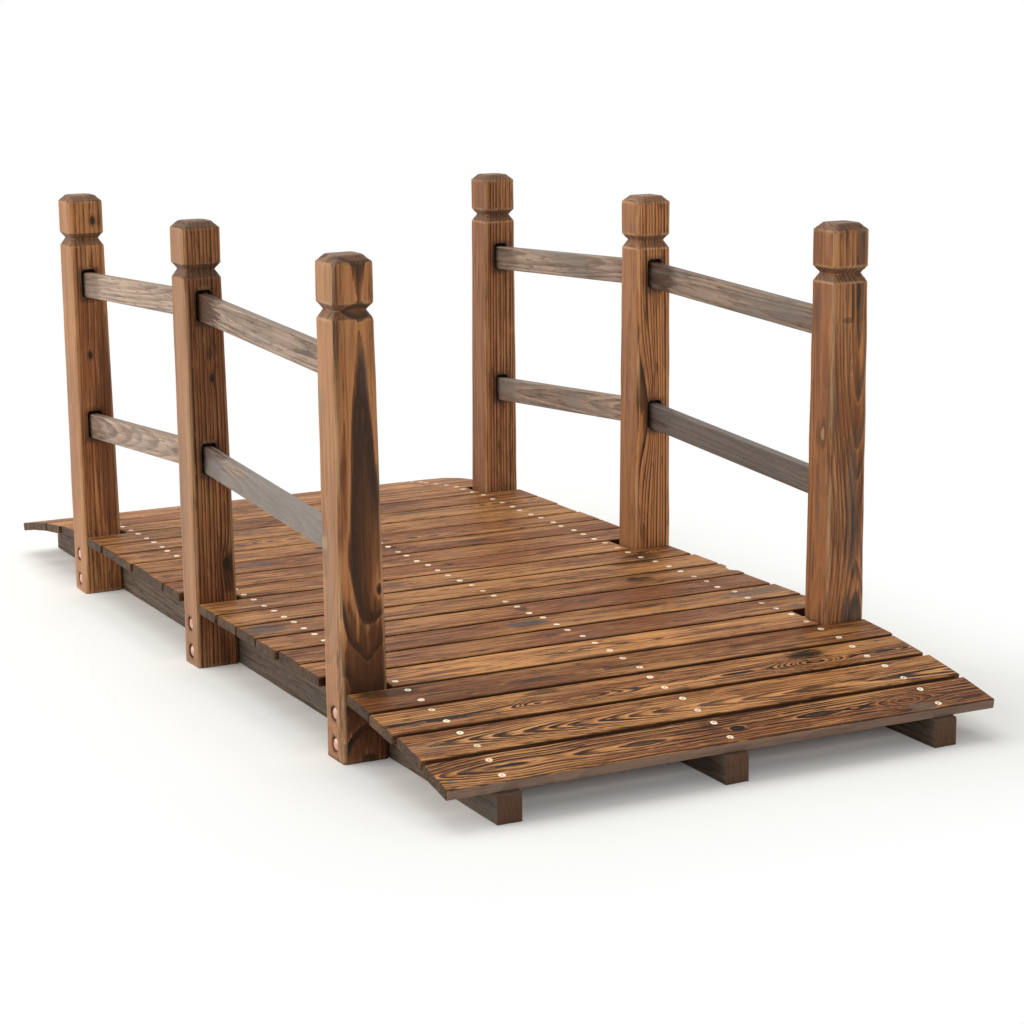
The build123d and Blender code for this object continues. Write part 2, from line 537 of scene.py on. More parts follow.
@dataclass(frozen=True)
class WoodFinish:
    """Softwood that was charred, brushed and sealed.

    Args:
        pale: Fresh wood just past a dark line.
        warm: The usual wood between the dark lines.
        deep: Wood that took more of the stain.
        dark: The dense part of each ring.
        char: Burnt wood.
        grey: Weathered wood.
        end: The sawn ends.
        side: The narrow faces, and a post's sideways faces: painted shade in the deck's gaps, and on the
            posts partly painted light.
        arris: The arrises, worn lighter, and partly a painted highlight along them.
        line: How dark the rings' lines are, 0 to 1.
        side_line: The same on the narrow faces.
        sawn_line: The same on the sawn ends.
        tangent: How much the lines fade where the rings stand steep, 0 to 1.
        uneven: How much the lines fade here and there, 0 to 1.
        thick: How far the dark part of a ring grows and shrinks, in parts of a ring.
        ragged: How far the lines stray, in parts of a ring.
        ink: How much of the lines is burnt black, 0 to 1.
        fair: How much of it is pale, 0 to 1.
        cover: How far the narrow faces' colour, with its painted shade and light, hides the figure, 0 to 1.
        burnt: How much of it is charred in patches, 0 to 1.
        weathered: How much of it is grey, 0 to 1.
        streak: How strongly its fibres show, 0 to 1.
        rough: The sheen's roughness.
        gloss: How strongly it mirrors at a glance, 0 to 1.
        worn: How much its arrises are worn lighter and painted with that highlight, 0 to 1.
        tone: Its lightness.
        relief: How deep its finest grooves are, in millimetres.
    """

    pale: Colour
    warm: Colour
    deep: Colour
    dark: Colour
    char: Colour
    grey: Colour
    end: Colour
    side: Colour
    arris: Colour
    line: float = 0.9
    side_line: float = 0.4
    sawn_line: float = 0.5
    tangent: float = 0.0
    uneven: float = 0.5
    thick: float = 0.5
    ragged: float = 0.35
    ink: float = 0.5
    fair: float = 0.5
    cover: float = 0.8
    burnt: float = 0.3
    weathered: float = 0.1
    streak: float = 1.0
    rough: float = 0.5
    gloss: float = 0.25
    worn: float = 0.8
    tone: float = 1.0
    relief: float = 0.3

    # Scale square to the grain and along it, shift and finer octaves of the nine noises, coarse and
    # fine, that the wood is made of: cloud, stain, blotch, ragged, fibre, hair, streaks, drift, dash.
    NOISES = (
        ((0.028, 0.0055), 11, 3.0), ((0.05, 0.008), 17, 3.0), ((0.075, 0.012), 23, 4.0),
        ((0.2, 0.022), 31, 3.0), ((0.75, 0.011), 43, 4.0), ((2.6, 0.05), 57, 2.0),
        ((0.3, 0.0065), 67, 3.0), ((0.016, 0.0034), 79, 2.0), ((0.30, 0.034), 83, 4.0),
    )

    def material(self, name: str, grain: Grain, rings: Rings, marks: tuple[Mark, ...]) -> bpy.types.Material:
        """Make one timber's material.

        Args:
            name: The timber's name.
            grain: Where it lies.
            rings: How it was cut.
            marks: What stains it, with a few marks of painted shade, highlight and sheen.

        Returns:
            The material.
        """
        paint = Paint.on_surface(name)
        matrix = grain.from_world()
        placed = paint.node(
            "ShaderNodeMapping", {},
            {"Vector": paint.spot(), "Location": matrix.to_translation(),
             "Rotation": grain.turn.to_euler(), "Scale": (1 / MM, 1 / MM, 1 / MM)},
        )
        place = Tint(paint, placed.outputs[0])
        x, y, z = paint.apart(place)
        cloud, stain, blotch, ragged, fibre, hair, streaks, drift, dash = (
            paint.noise(place, scale, rings.seed + shift, detail) for scale, shift, detail in self.NOISES
        )
        side = paint.painted("side")

        count, flat = rings.field(x, y, z)
        turn = fraction(count + (ragged - 0.5) * self.ragged + (fibre - 0.5) * (self.ragged * 0.3))
        late = rings.latewood(turn, (0.5 - stain) * self.thick)
        strong = rise(stain, 0.36, 0.62)
        line = (self.line + side * (self.side_line - self.line)) * (strong * self.uneven + (1 - self.uneven))
        line = line * (flat * self.tangent + (1 - self.tangent))
        patch = 0.44 + 0.12 * self.fair
        wood = paint.mix(rise(drift * 0.4 + cloud * 0.2 + streaks * 0.4, patch - 0.06, patch + 0.06),
                         self.pale, self.warm)
        wood = paint.mix(rise(blotch * 0.4 + streaks * 0.4 + dash * 0.2, 0.50, 0.61) * 0.8, wood, self.deep)
        # The narrow faces take the side colour: on deck boards it is painted shade in the gaps, on posts
        # partly painted light.
        wood = paint.mix(side * self.cover, wood, self.side)
        uneven = ragged * 0.4 + streaks * 0.3 + dash * 0.3
        for mark in (mark for mark in marks if mark.under):
            wood = paint.mix(mark.spread(x, y, z, uneven), wood, mark.colour)
        wood = paint.mix(rise(turn, 0.10, 0.80) * line * 0.6, wood, self.deep)
        wood = paint.mix(late * line, wood, self.dark)
        wood = paint.mix(rise(turn, 0.22, 0.0) * line * 0.8, wood, self.pale)
        ink = rise(late, 0.35, 0.9) * rise(stain, 0.60 - 0.16 * self.ink, 0.68 - 0.16 * self.ink)
        wood = paint.mix(ink * line, wood, self.char)
        plain = self.streak - side * (0.45 * self.streak)
        wood = paint.mix(rise(fibre, 0.53, 0.68) * plain * 0.7, wood, self.deep)
        wood = paint.mix(rise(fibre, 0.42, 0.29) * plain * 0.5, wood, self.pale)
        dashes = plain * (1.0 - side * 0.8)
        wood = paint.mix(rise(dash, 0.57, 0.66) * dashes * 0.7, wood, self.dark)
        wood = paint.mix(rise(dash, 0.40, 0.32) * dashes * 0.5, wood, self.pale)
        burnt = rise(blotch, 0.72 - 0.16 * self.burnt, 0.84 - 0.16 * self.burnt) * (late * 0.5 + 0.5)
        wood = paint.mix(burnt * (1.0 - side * 0.6), wood, self.char)
        for knot in rings.knots:
            if knot.heart > 0.0:
                away = knot.reach(x, y, knot.heart, knot.heart * 1.7) + (ragged - 0.5) * 1.4
                wood = paint.mix(rise(away, 5.0, 1.2) * 0.5, wood, self.deep)
                wood = paint.mix(rise(away, 1.5, 0.7) * 0.9, wood, self.char)
        for mark in (mark for mark in marks if not mark.under):
            wood = paint.mix(mark.spread(x, y, z, uneven), wood, mark.colour)
        dull = rise(cloud, 0.70 - 0.5 * self.weathered, 0.84 - 0.5 * self.weathered)
        wood = paint.mix(dull * (0.30 + 0.6 * self.weathered), wood, self.grey)
        # The arrises turn lighter: worn wood, and partly a painted highlight along them.
        rubbed_and_highlight = paint.painted("wear") * rise(fibre * 0.5 + stain * 0.5, 0.38, 0.60) * self.worn
        wood = paint.mix(rubbed_and_highlight, wood, self.arris)
        sawn = paint.painted("sawn")
        end = paint.mix(late * self.sawn_line, self.end, self.char)
        wood = paint.mix(sawn * (0.5 + blotch * 0.7), wood, end)
        wood = paint.mix(paint.painted("scorch") * (0.45 + blotch * 0.5), wood, self.char)
        light = (0.76 + fibre * 0.48) * (0.72 + hair * 0.56) * self.tone
        wood = paint.scaled(wood, light)

        height = late * (0.35 + strong * 0.3) + fibre * 0.5 + hair * 0.3
        return paint.finish({
            "Base Color": wood,
            "Roughness": self.rough + (fibre - 0.5) * 0.3 + (blotch - 0.5) * 0.25,
            "Specular IOR Level": self.gloss,
            "Normal": paint.bump(height, self.relief * MM),
        })


@dataclass(frozen=True)
class MetalFinish:
    """Plated steel, tarnished in patches; a "hollow" value would dull it further, but no mesh here carries
    one.

    Args:
        bright: The plating.
        dull: The plating where it has tarnished.
        rough: The sheen's roughness.
    """

    bright: Colour
    dull: Colour
    rough: float = 0.32

    def material(self, name: str) -> bpy.types.Material:
        """Make the metal's material.

        Args:
            name: The material's name.

        Returns:
            The material.
        """
        paint = Paint.on_surface(name)
        place = paint.scaled(paint.spot(), 1 / MM)
        patch = paint.noise(place, (0.06, 0.06), 3.0, 2.0)
        speck = paint.noise(place, (1.4, 1.4), 7.0, 3.0)
        tarnish = rise(patch, 0.42, 0.7) * 0.6 + rise(speck, 0.55, 0.8) * 0.4
        metal = paint.mix(greater(tarnish, paint.painted("hollow")), self.bright, self.dull)
        return paint.finish({
            "Base Color": metal,
            "Metallic": 0.35,
            "Roughness": self.rough + speck * 0.18,
            "Normal": paint.bump(speck, 0.08 * MM),
        })


# Its narrow faces are near-black: painted shade in the gaps between the boards.
DECK_WOOD = WoodFinish(
    pale=dye(214, 153, 93), warm=dye(146, 89, 51), deep=dye(98, 53, 31), dark=dye(38, 21, 13),
    char=dye(18, 13, 10), grey=dye(112, 100, 90), end=dye(74, 63, 53), side=dye(16, 11, 9),
    arris=dye(206, 150, 98), rough=0.5, gloss=0.08, worn=0.3, burnt=0.2, ink=0.6, weathered=0.08,
    line=0.8, uneven=0.5, tangent=0.6, side_line=0.1, sawn_line=0.3, cover=0.95,
)
# Its side colour is the left row's, whose sideways faces are painted lighter as lit; Posts sets it per row.
POST_WOOD = WoodFinish(
    pale=dye(208, 144, 92), warm=dye(156, 97, 57), deep=dye(110, 66, 39), dark=dye(60, 42, 30),
    char=dye(42, 36, 32), grey=dye(96, 82, 70), end=dye(108, 78, 56), side=dye(172, 128, 92),
    arris=dye(218, 176, 130), rough=0.52, gloss=0.2, line=0.9, uneven=0.2, worn=0.6, thick=0.2,
    ragged=0.12, burnt=0.12, ink=0.25, weathered=0.08, side_line=0.12, sawn_line=0.4, streak=0.7, cover=0.65,
)
RAIL_WOOD = WoodFinish(
    pale=dye(178, 154, 132), warm=dye(152, 130, 112), deep=dye(120, 100, 84), dark=dye(88, 72, 60),
    char=dye(62, 56, 50), grey=dye(132, 124, 116), end=dye(96, 86, 76), side=dye(120, 104, 90),
    arris=dye(184, 164, 144), worn=0.4,
    rough=0.6, line=0.5, burnt=0.1, ink=0.1, weathered=0.4, streak=0.8,
)
BEARER_WOOD = WoodFinish(
    pale=dye(128, 110, 92), warm=dye(106, 90, 74), deep=dye(82, 66, 52), dark=dye(60, 46, 37),
    char=dye(44, 36, 30), grey=dye(100, 92, 84), end=dye(104, 70, 48), side=dye(86, 70, 56), tone=0.94,
    arris=dye(136, 118, 100), worn=0.3,
    sawn_line=0.15, rough=0.66, line=0.4, burnt=0.2, ink=0.1, weathered=0.4, streak=0.8,
)
COPPER = MetalFinish(bright=dye(246, 198, 180), dull=dye(168, 112, 92))
BRASS = MetalFinish(bright=dye(255, 238, 212), dull=dye(206, 168, 120), rough=0.42)


# --------------------------------------------------------------------------------------------
# Timbers
# --------------------------------------------------------------------------------------------

@dataclass
class Timber:
    """One piece of wood: its node's shape with worn arrises and brushed faces.

    Args:
        node: The node that it stands for.
        slot: The record's material slot; it is not used.
        grain: Where it lies.
        rings: How it was cut.
        finish: How it was finished.
        ease: How much is worn off its arrises.
        cell: Spacing of its mesh across, along and through the grain.
        relief: How deep the soft wood is brushed out.
        waver: How far its arrises stray.
        corner: Radius that its long arrises are worn to, 0 to leave them.
        slots: Middles of the slots in it, in its grain frame.
        marks: What stains it, with a few marks of painted shade, highlight and sheen.
    """

    node: str
    slot: str
    grain: Grain
    rings: Rings
    finish: WoodFinish
    ease: float = 0.5
    cell: tuple[float, float, float] = (1.6, 8.0, 4.0)
    relief: float = 0.14
    waver: float = 0.35
    corner: float = 0.0
    slots: list[Vector] = field(default_factory=list)
    marks: tuple[Mark, ...] = ()

    SHARP = math.radians(14)
    CREASE = math.radians(38)
    STRAIGHT = math.radians(0.4)
    SIDEWAYS = (0.70, 0.97)
    ENDWAYS = (0.22, 0.6)
    BEND = (0.08, 0.45)
    SHORTEST_ARRIS = 1.6
    MERGE = 0.02
    EDGE_ROW = 1.4
    FULL_SECTION = 30.0
    SLOT_HALF = (10.0, 19.0)
    SCORCH_REACH = 9.0

    def build(self) -> bpy.types.Object:
        """Make the timber, dressed and riding on the bridge.

        Returns:
            The piece.
        """
        work = bmesh.new()
        work.from_mesh(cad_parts[self.node].data)
        bmesh.ops.remove_doubles(work, verts=work.verts, dist=1e-6)
        bmesh.ops.transform(work, matrix=self.grain.from_world(), verts=work.verts)
        bmesh.ops.dissolve_limit(work, angle_limit=self.STRAIGHT, verts=work.verts, edges=work.edges)
        levels = self.sections(work)
        self.round_arrises(work)
        bmesh.ops.remove_doubles(work, verts=work.verts, dist=self.MERGE)
        bmesh.ops.recalc_face_normals(work, faces=work.faces)
        self.slice(work)
        bmesh.ops.remove_doubles(work, verts=work.verts, dist=self.MERGE)
        bmesh.ops.triangulate(work, faces=[face for face in work.faces if len(face.verts) > 4])
        self.mark(work)
        if self.corner:
            self.wear_corners(work, levels)
        self.brush(work)
        bmesh.ops.transform(work, matrix=self.grain.from_world().inverted(), verts=work.verts)
        self.keep_inside(work)
        return self.hand_over(work)

    def keep_inside(self, work: bmesh.types.BMesh) -> None:
        """Hold every vertex inside the node's box.

        Args:
            work: The timber, in metres.
        """
        low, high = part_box(self.node)
        for vertex in work.verts:
            for axis in range(3):
                vertex.co[axis] = min(max(vertex.co[axis], low[axis]), high[axis])

    def sections(self, work: bmesh.types.BMesh) -> np.ndarray:
        """Measure the timber at each level where its section changes.

        Args:
            work: Its shape before anything is added.

        Returns:
            Rows of place along, least and greatest across, and least and greatest through.
        """
        places: dict[float, list[Vector]] = {}
        for vertex in work.verts:
            places.setdefault(round(vertex.co.y, 1), []).append(vertex.co)
        rows = []
        for along, found in sorted(places.items()):
            low = [min(place[axis] for place in found) for axis in (0, 2)]
            high = [max(place[axis] for place in found) for axis in (0, 2)]
            if min(high[0] - low[0], high[1] - low[1]) > self.FULL_SECTION:
                rows.append((along, low[0], high[0], low[1], high[1]))
        return np.array(rows)

    def wear_corners(self, work: bmesh.types.BMesh, levels: np.ndarray) -> None:
        """Round the long arrises further, to the timber's corner radius, and note them as worn, a band where
        the material also paints a highlight.

        Args:
            work: The timber.
            levels: Its sections before anything was added.
        """
        wear = work.verts.layers.float["wear"]
        for vertex in work.verts:
            low_x, high_x, low_z, high_z = (np.interp(vertex.co.y, levels[:, 0], levels[:, column])
                                            for column in range(1, 5))
            middle = Vector(((low_x + high_x) / 2, 0, (low_z + high_z) / 2))
            inner = Vector(((high_x - low_x) / 2 - self.corner, 0, (high_z - low_z) / 2 - self.corner))
            place = vertex.co - middle
            out = Vector((abs(place.x) - inner.x, 0, abs(place.z) - inner.z))
            band = float(rise(np.float64(min(out.x, out.z)), 0.0, self.corner * 0.5))
            vertex[wear] = max(vertex[wear], band)
            if band > 0 and out.length > self.corner:
                out *= self.corner / out.length
                vertex.co.x = middle.x + math.copysign(inner.x + out.x, place.x)
                vertex.co.z = middle.z + math.copysign(inner.z + out.z, place.z)

    def round_arrises(self, work: bmesh.types.BMesh) -> None:
        """Round the outward edges, but not the fine ones of the bolt holes.

        Args:
            work: The timber.
        """
        arrises = [
            edge for edge in work.edges
            if edge.is_manifold and edge.is_convex
            and edge.calc_face_angle() > self.SHARP and edge.calc_length() > self.SHORTEST_ARRIS
        ]
        bmesh.ops.bevel(work, geom=arrises, offset=self.ease, offset_type="OFFSET", segments=2,
                        profile=0.5, affect="EDGES", clamp_overlap=True, material=-1)

    def slice(self, work: bmesh.types.BMesh) -> None:
        """Cut the faces into cells that can be worn one by one.

        Args:
            work: The timber.
        """
        for axis in (1, 0, 2):
            size = self.grain.size[axis]
            count = max(1, round(size / self.cell[axis]))
            normal = Vector((0, 0, 0))
            normal[axis] = 1.0
            levels = [step * size / count - size / 2 for step in range(1, count)]
            if axis == 2:
                levels += [self.EDGE_ROW - size / 2, size / 2 - self.EDGE_ROW]
            for level in levels:
                bmesh.ops.bisect_plane(
                    work, geom=work.verts[:] + work.edges[:] + work.faces[:], dist=self.MERGE,
                    plane_co=normal * level, plane_no=normal,
                )

    def mark(self, work: bmesh.types.BMesh) -> None:
        """Write down at each vertex how worn and how scorched it is.

        Args:
            work: The timber.
        """
        wear = work.verts.layers.float.new("wear")
        scorch = work.verts.layers.float.new("scorch")
        side = work.verts.layers.float.new("side")
        sawn = work.verts.layers.float.new("sawn")
        work.normal_update()
        for vertex in work.verts:
            vertex[side] = float(rise(np.float64(abs(vertex.normal.x)), *self.SIDEWAYS))
            vertex[sawn] = float(rise(np.float64(abs(vertex.normal.y)), *self.ENDWAYS))
            angles = [edge.calc_face_angle() for edge in vertex.link_edges
                      if edge.is_manifold and edge.is_convex]
            vertex[wear] = float(rise(np.float64(max(angles, default=0.0)), *self.BEND))
            vertex[scorch] = max((self.scorched(vertex.co, slot) for slot in self.slots), default=0.0)

    def scorched(self, place: Vector, slot: Vector) -> float:
        """How burnt a place is by the slot beside it.

        Args:
            place: The place.
            slot: The slot's middle.

        Returns:
            How burnt, 0 to 1.
        """
        across = abs(place.x - slot.x) - self.SLOT_HALF[0]
        along = abs(place.y - slot.y) - self.SLOT_HALF[1]
        depth = abs(place.z - slot.z) - self.SCORCH_REACH * 2
        gap = math.hypot(max(across, 0.0), max(along, 0.0), max(depth, 0.0))
        return float(rise(np.float64(gap), self.SCORCH_REACH, 0.0))

    def brush(self, work: bmesh.types.BMesh) -> None:
        """Brush out the soft wood and let the arrises stray, always inwards.

        Args:
            work: The timber.
        """
        work.normal_update()
        wear = work.verts.layers.float["wear"]
        side = work.verts.layers.float["side"]
        places = np.array([vertex.co for vertex in work.verts])
        worn = np.array([vertex[wear] for vertex in work.verts])
        flank = np.array([vertex[side] for vertex in work.verts])
        x, y, z = places.T
        count, flat = self.rings.field(x, y, z)
        late = self.rings.latewood(fraction(count)) * (flat * self.finish.tangent + 1 - self.finish.tangent)
        ends = rise(np.abs(y), self.grain.size.y / 2 - 3.0, self.grain.size.y / 2 - 1.0)
        corner = np.sign(x) * 1.7 + np.sign(z) * 0.9 + self.rings.seed
        stray = 0.5 + 0.3 * np.sin(y / 17 + corner) + 0.2 * np.sin(y / 41 + corner * 2.3)
        depth = self.relief * (1.0 - late) * (1.0 - ends) * (1.0 - 0.7 * flank) + self.waver * stray * worn
        for vertex, inwards in zip(work.verts, depth):
            vertex.co -= vertex.normal * float(inwards)

    def hand_over(self, work: bmesh.types.BMesh) -> bpy.types.Object:
        """Turn the work into the finished piece that stands for its node.

        Args:
            work: The timber, in metres.

        Returns:
            The piece.
        """
        for face in work.faces:
            face.smooth = True
        for edge in work.edges:
            edge.smooth = not edge.is_manifold or edge.calc_face_angle() < self.CREASE
        material = self.finish.material(f"{self.node}_wood", self.grain, self.rings, self.marks)
        piece = make_piece(f"{self.node}_timber", work, material)
        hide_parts(self.node)
        return piece


def add_object(name: str, data: bpy.types.ID) -> bpy.types.Object:
    """Put a mesh, a light or a camera into the scene as an object.

    Args:
        name: The object's name.
        data: What it shows.

    Returns:
        The object.
    """
    made = bpy.data.objects.new(name, data)
    bpy.context.scene.collection.objects.link(made)
    return made


def shape_object(name: str, work: bmesh.types.BMesh, material: bpy.types.Material) -> bpy.types.Object:
    """Turn a bmesh, which is freed, into an object with one material.

    Args:
        name: The object's name.
        work: Its shape, in metres.
        material: Its material.

    Returns:
        The object.
    """
    mesh = bpy.data.meshes.new(name)
    work.to_mesh(mesh)
    work.free()
    mesh.materials.append(material)
    return add_object(name, mesh)


def make_piece(name: str, work: bmesh.types.BMesh, material: bpy.types.Material) -> bpy.types.Object:
    """Put a bmesh into the scene as a piece that rides on the bridge.

    Args:
        name: The piece's name.
        work: Its shape, in metres. It is freed.
        material: Its material.

    Returns:
        The piece.
    """
    piece = shape_object(name, work, material)
    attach(piece, BODY)
    LOG.info("%s: %d faces", name, len(piece.data.polygons))
    return piece


class Side(Enum):
    """The two sides of the bridge."""

    LEFT = -1
    RIGHT = 1

    @property
    def word(self) -> str:
        """The side's name as the nodes spell it."""
        return self.name.lower()


ACROSS = Vector((1, 0, 0))
ALONG = Vector((0, 1, 0))
UP = Vector((0, 0, 1))


@dataclass
class Deck:
    """The deck boards and the screws that hold them."""

    boards: int = 23
    seed: int = 7
    screw_rows: tuple[float, ...] = (-274.6, 0.0, 274.6)
    screw_offset: float = 17.5
    screw_radius: float = 4.2
    step_edge: Colour = dye(148, 124, 108)
    # Edges of the near boards: painted shade in their gaps, lighter than the far boards' near-black.
    near_gap_shade: Colour = dye(70, 48, 35)

    FAIR = {1: 0.2, 2: 0.8, 3: 0.65, 4: 0.15, 5: 0.8, 6: 0.25, 7: 0.5, 8: 0.25, 9: 0.35, 10: 0.8, 11: 0.6}

    def chosen_rings(self) -> dict[int, Rings]:
        """How the boards nearest to the step were cut: their figure is plain to see."""
        return {
            1: Rings(pith=(0, -2.0), width=4.4, sway=0.6, late=0.3, seed=8.4, knots=(
                Knot(0, -420, 1000, 110, 25.0), Knot(0, -205, 1000, 40, 4.0), Knot(1, -98, 10, 24, -3.2),
                Knot(2, 19, 9, 10, -3.4), Knot(0, 122, 10, 24, -3.2), Knot(0, 174, 6, 8, -2.4),
                Knot(2, 242, 18, 30, -15.0))),
            2: Rings(pith=(7, -7), lean=(0.022, 0.0), width=3.0, sway=0.35, late=0.2, seed=7.0,
                     knots=(Knot(0, -346, 1000, 230, 19.0), Knot(0, -700, 1000, 800, 31.0))),
            3: Rings(pith=(9, -3.2), width=3.8, sway=0.5, late=0.25, seed=11.0,
                     knots=(Knot(3, -163, 15, 20, -9.0), Knot(6, -108, 19, 62, -13.0),
                            Knot(9, 100, 10, 34, -2.6), Knot(11, 205, 22, 40, -27.0),
                            Knot(8, 300, 16, 50, -10.0), Knot(4, 196, 3, 3, 0.0, 1.8))),
            4: Rings(pith=(8, -9), lean=(0.0, 0.03), width=1.8, sway=0.6, wander=2.0, late=0.35, seed=15.0),
            5: Rings(pith=(-1, -6), lean=(0.0, -0.008), width=3.0, sway=0.6, wander=1.5, late=0.3, seed=31.4,
                     knots=(Knot(0, 59, 9, 34, -4.0), Knot(2, -60, 7, 30, -2.5))),
            7: Rings(pith=(-6, -7), lean=(0.0, 0.02), width=2.6, sway=0.8, wander=2.0, late=0.35, seed=26.0,
                     knots=(Knot(-6, 139, 8, 30, -4.0),)),
        }

    def chosen_marks(self) -> dict[int, tuple[Mark, ...]]:
        """The stains, charred spots and grey patches that catch the eye; the grey patches are partly a
        painted sheen.
        """
        # The slate patches on the boards are partly grey weathered wood and partly a painted sheen of the
        # sealed face.
        char, slate, soot = DECK_WOOD.char, dye(74, 74, 76), dye(44, 30, 22)
        return {
            1: (Mark(0, -98, 5, 17, char, 0.85), Mark(2, 19, 6, 9, char, 0.9),
                Mark(1, 124, 5, 19, char, 0.85), Mark(20, 252, 8, 18, DECK_WOOD.grey, 0.6),
                Mark(0, -278, 4, 14, char, 0.7)),
            3: (Mark(-14, 206, 12, 25, char, 0.95), Mark(-20, -138, 7, 18, soot, 0.7)),
            4: (Mark(7, -120, 4, 22, soot, 0.8), Mark(8, -12, 4, 22, soot, 0.8),
                Mark(-18, -300, 12, 40, soot, 0.7)),
            6: (Mark(-5, -28, 6, 9, soot, 0.6), Mark(20, 320, 8, 30, DECK_WOOD.grey, 0.5)),
            7: (Mark(-4, -28, 11, 27, slate, 0.9), Mark(-5, 139, 5, 22, soot, 0.7),
                Mark(-4, 300, 16, 46, slate, 0.55)),
            8: (Mark(-5, 0, 10, 8, soot, 0.7), Mark(0, 95, 8, 20, soot, 0.4)),
            9: (Mark(-4, 204, 9, 22, soot, 0.85), Mark(0, -320, 20, 26, slate, 0.6)),
            10: (Mark(-27, 245, 9, 40, soot, 0.85), Mark(-4, 70, 10, 16, soot, 0.35)),
            11: (Mark(12, 276, 15, 30, soot, 0.8), Mark(0, -84, 14, 12, slate, 0.4)),
            14: (Mark(-8, -210, 12, 46, slate, 0.5), Mark(6, 120, 9, 30, soot, 0.6)),
            17: (Mark(4, 40, 10, 30, soot, 0.6), Mark(-10, -150, 12, 40, slate, 0.5)),
            20: (Mark(-6, -60, 14, 60, soot, 0.6), Mark(8, 190, 10, 40, slate, 0.4)),
        }

    def drawn_rings(self, draw: random.Random) -> Rings:
        """Let chance choose how a board was cut.

        Args:
            draw: The source of chance.

        Returns:
            Its rings.
        """
        knots = []
        for _ in range(draw.choice((0, 1, 1, 2))):
            heart = draw.choice((0.0, 2.4, 3.4))
            knots.append(Knot(draw.uniform(-24, 24), draw.uniform(-320, 320), draw.uniform(8, 14),
                              draw.uniform(16, 40), draw.uniform(-9, -3), heart))
        return Rings(
            pith=(draw.uniform(-18, 18), draw.uniform(-14, -3)),
            lean=(draw.uniform(-0.02, 0.02), draw.uniform(-0.04, 0.04)),
            width=draw.uniform(1.9, 2.9), sway=draw.uniform(0.5, 1.0), wander=draw.uniform(1, 4),
            late=draw.uniform(0.3, 0.45), seed=draw.uniform(0, 60), knots=tuple(knots),
        )

    def board_finish(self, number: int, draw: random.Random) -> WoodFinish:
        """Choose how a board was finished.

        Args:
            number: The board's number from the near end.
            draw: The source of chance.

        Returns:
            Its finish.
        """
        finish = replace(DECK_WOOD, tone=draw.uniform(0.78, 0.98), burnt=draw.uniform(0.0, 0.4),
                         weathered=draw.uniform(0.0, 0.2), ink=draw.uniform(0.1, 0.5),
                         line=draw.uniform(0.35, 0.7), fair=draw.uniform(0.2, 0.8))
        if number in self.FAIR:
            finish = replace(finish, fair=self.FAIR[number], tone=0.88)
        if number <= 5:
            # The near boards' edges take the lighter painted gap shade.
            finish = replace(finish, side=self.near_gap_shade, tangent=0.7, tone=0.80 if number == 4 else 1.07)
        if number <= 3:
            finish = replace(finish, ink=0.9, line=1.0, uneven=0.25)
        if number == 1:
            finish = replace(finish, side=self.step_edge, tangent=0.12, tone=0.98, worn=0.15)
        return finish

    def build(self) -> list[bpy.types.Object]:
        """Make the boards and the screws."""
        draw = random.Random(self.seed)
        chosen, marks = self.chosen_rings(), self.chosen_marks()
        grains = []
        pieces = []
        for number in range(1, self.boards + 1):
            node = f"deck_board_{number:02d}"
            grain = Grain.of_node(node, -ALONG, UP, square=False)
            grains.append(grain)
            drawn = self.drawn_rings(draw)
            finish = self.board_finish(number, draw)
            board = Timber(node, "deck_wood", grain, chosen.get(number, drawn), finish,
                           marks=marks.get(number, ()))
            pieces.append(board.build())
        pieces.append(self.build_screws(grains, draw))
        return pieces

    def build_screws(self, grains: list[Grain], draw: random.Random) -> bpy.types.Object:
        """Make all the deck screws as one piece.

        Args:
            grains: Where each board lies.
            draw: The source of chance.

        Returns:
            The piece.
        """
        work = bmesh.new()
        for grain in grains:
            for row in self.screw_rows:
                for side in (-1, 1):
                    head = screw_head(work, self.screw_radius)
                    place = Vector((side * self.screw_offset + draw.uniform(-1.5, 1.5),
                                    row + draw.uniform(-2, 2), grain.size.z / 2 + draw.uniform(-0.15, 0.2)))
                    spin = Matrix.Rotation(draw.uniform(0, math.tau), 4, "Z")
                    tip = Matrix.Rotation(draw.uniform(-0.06, 0.06), 4, "X")
                    matrix = grain.from_world().inverted() @ Matrix.Translation(place) @ tip @ spin
                    bmesh.ops.transform(work, matrix=matrix, verts=head)
        bmesh.ops.recalc_face_normals(work, faces=work.faces)
        piece = make_piece("deck_screws", work, BRASS.material("brass_screws"))
        return piece


def turned(
    work: bmesh.types.BMesh, outline: Iterable[tuple[float, float]], steps: int,
) -> list[bmesh.types.BMVert]:
    """Spin an outline round Z into a closed shape.

    Args:
        work: Where the shape is added.
        outline: Radius and height of its points, from one end of the axis to the other.
        steps: How many facets go round.

    Returns:
        The shape's vertices.
    """
    before = set(work.verts)
    points = [work.verts.new((radius, 0.0, height)) for radius, height in outline]
    edges = [work.edges.new(pair) for pair in zip(points, points[1:])]
    bmesh.ops.spin(work, geom=points + edges, cent=(0, 0, 0), axis=(0, 0, 1), angle=math.tau,
                   steps=steps, use_merge=True, use_normal_flip=False, use_duplicate=False)
    new = [vertex for vertex in work.verts if vertex not in before]
    bmesh.ops.remove_doubles(work, verts=new, dist=1e-4)
    return [vertex for vertex in work.verts if vertex not in before]


